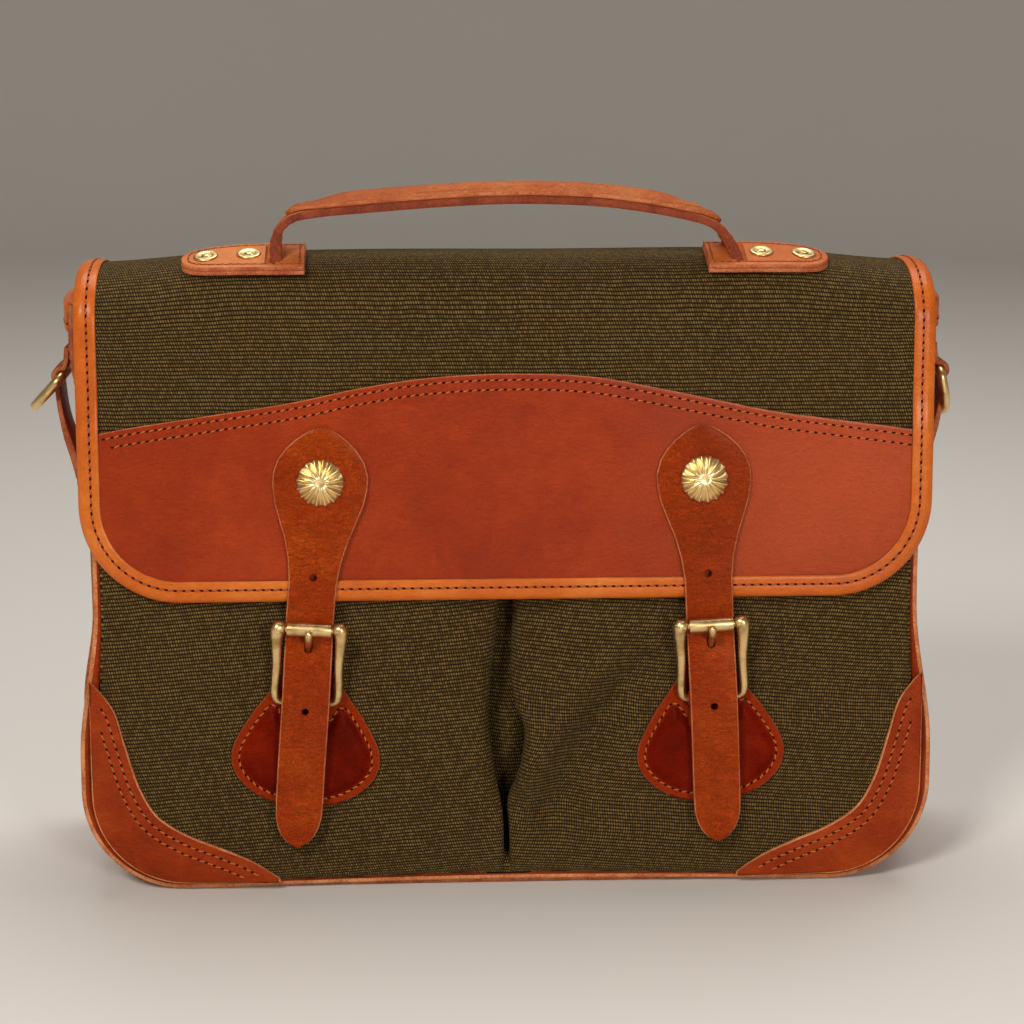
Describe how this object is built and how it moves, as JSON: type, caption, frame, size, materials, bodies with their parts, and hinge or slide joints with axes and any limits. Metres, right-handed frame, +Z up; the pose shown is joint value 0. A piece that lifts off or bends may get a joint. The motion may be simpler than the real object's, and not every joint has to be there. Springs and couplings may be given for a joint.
{
  "type": "messenger bag",
  "caption": "Canvas messenger bag with a full flap, shaped leather trim, strap-and-buckle closures over front pockets, a stitched leather top handle and side D-rings.",
  "frame": {"origin": "on the underside of the base, in the middle of the bag's width and 16 mm behind the main gusset's front edge", "axes": "+Z up, -Y out of the front (flap and buckles), +X towards the right-hand side as seen from the front"},
  "size_m": [0.4271, 0.1152, 0.3207],
  "materials": {
    "canvas": "coarse olive canvas",
    "lining_fabric": "plain woven lining",
    "board": "stiffener board",
    "binding_leather": "waxed tan leather",
    "panel_leather": "waxed red-brown leather",
    "strap_leather": "waxed brown leather, pale cut edges",
    "handle_leather": "natural tan leather",
    "brass": "satin"
  },
  "bodies": {
    "bag_body": {"back_panel": "canvas", "back_welt": "binding_leather", "front_panel": "canvas", "main_gusset": "panel_leather", "base_board": "board", "lining": "lining_fabric", "slip_pocket": "lining_fabric", "gusset_binding_left": "binding_leather", "gusset_binding_right": "binding_leather", "d_ring_tab_left": "panel_leather", "d_ring_tab_right": "panel_leather", "pocket_gusset": "panel_leather", "pocket_welt": "binding_leather", "pocket_pleat": "canvas", "pocket_front_left": "canvas", "pocket_front_right": "canvas", "corner_patch_left": "panel_leather", "corner_patch_right": "panel_leather", "buckle_tab_left": "panel_leather", "buckle_tab_right": "panel_leather"},
    "flap": {"flap_canvas": "canvas", "flap_lining": "lining_fabric", "flap_leather": "panel_leather", "flap_binding": "binding_leather", "closure_strap_left": "strap_leather", "closure_strap_right": "strap_leather", "concho_left": "brass", "concho_right": "brass", "concho_screw_left": "brass", "concho_screw_right": "brass", "handle_plate_left": "handle_leather", "handle_plate_right": "handle_leather", "handle_root_left": "handle_leather", "handle_root_right": "handle_leather", "handle_backing_left": "handle_leather", "handle_backing_right": "handle_leather", "handle_rivets": "brass", "rivet_burrs": "brass"},
    "handle": {"handle_strap": "handle_leather", "handle_filler": "handle_leather", "handle_overlay": "handle_leather"},
    "d_ring_left": {"d_ring_left": "brass"},
    "buckle_frame_left": {"buckle_frame_left": "brass"},
    "buckle_roller_left": {"buckle_roller_left": "brass"},
    "buckle_prong_left": {"buckle_prong_left": "brass"},
    "d_ring_right": {"d_ring_right": "brass"},
    "buckle_frame_right": {"buckle_frame_right": "brass"},
    "buckle_roller_right": {"buckle_roller_right": "brass"},
    "buckle_prong_right": {"buckle_prong_right": "brass"}
  },
  "joints": [
    {"name": "flap_hinge", "type": "hinge", "parent": "bag_body", "child": "flap", "pos_m": [0, 0.0488, 0.27347], "axis": [-1, 0, 0], "range_deg": [0, 170], "deforming": ["closure_strap_left", "closure_strap_right"]},
    {"name": "handle_rock", "type": "hinge", "parent": "flap", "child": "handle", "pos_m": [0, -0.02205, 0.29865], "axis": [1, 0, 0], "range_deg": [-50, 50]},
    {"name": "d_ring_left_swing", "type": "hinge", "parent": "bag_body", "child": "d_ring_left", "pos_m": [-0.2022, 0.014, 0.229], "axis": [0, 1, 0], "range_deg": [-28, 130]},
    {"name": "d_ring_right_swing", "type": "hinge", "parent": "bag_body", "child": "d_ring_right", "pos_m": [0.2022, 0.014, 0.229], "axis": [0, -1, 0], "range_deg": [0, 160]},
    {"name": "buckle_frame_left_swing", "type": "hinge", "parent": "bag_body", "child": "buckle_frame_left", "pos_m": [-0.09065, -0.05175, 0.08929], "axis": [0.9986, -0.0032, -0.0531], "range_deg": [0, 45]},
    {"name": "buckle_roller_left_spin", "type": "hinge", "parent": "buckle_frame_left", "child": "buckle_roller_left", "pos_m": [-0.0888, -0.05651, 0.1244], "axis": [0.9986, -0.0032, -0.0531], "continuous": true},
    {"name": "buckle_prong_left_swing", "type": "hinge", "parent": "buckle_frame_left", "child": "buckle_prong_left", "pos_m": [-0.09065, -0.05175, 0.08929], "axis": [0.9986, -0.0032, -0.0531], "range_deg": [0, 60]},
    {"name": "buckle_frame_right_swing", "type": "hinge", "parent": "bag_body", "child": "buckle_frame_right", "pos_m": [0.09065, -0.05175, 0.08929], "axis": [0.9986, 0.0032, 0.0531], "range_deg": [0, 45]},
    {"name": "buckle_roller_right_spin", "type": "hinge", "parent": "buckle_frame_right", "child": "buckle_roller_right", "pos_m": [0.0888, -0.05651, 0.1244], "axis": [0.9986, 0.0032, 0.0531], "continuous": true},
    {"name": "buckle_prong_right_swing", "type": "hinge", "parent": "buckle_frame_right", "child": "buckle_prong_right", "pos_m": [0.09065, -0.05175, 0.08929], "axis": [0.9986, 0.0032, 0.0531], "range_deg": [0, 60]}
  ]
}
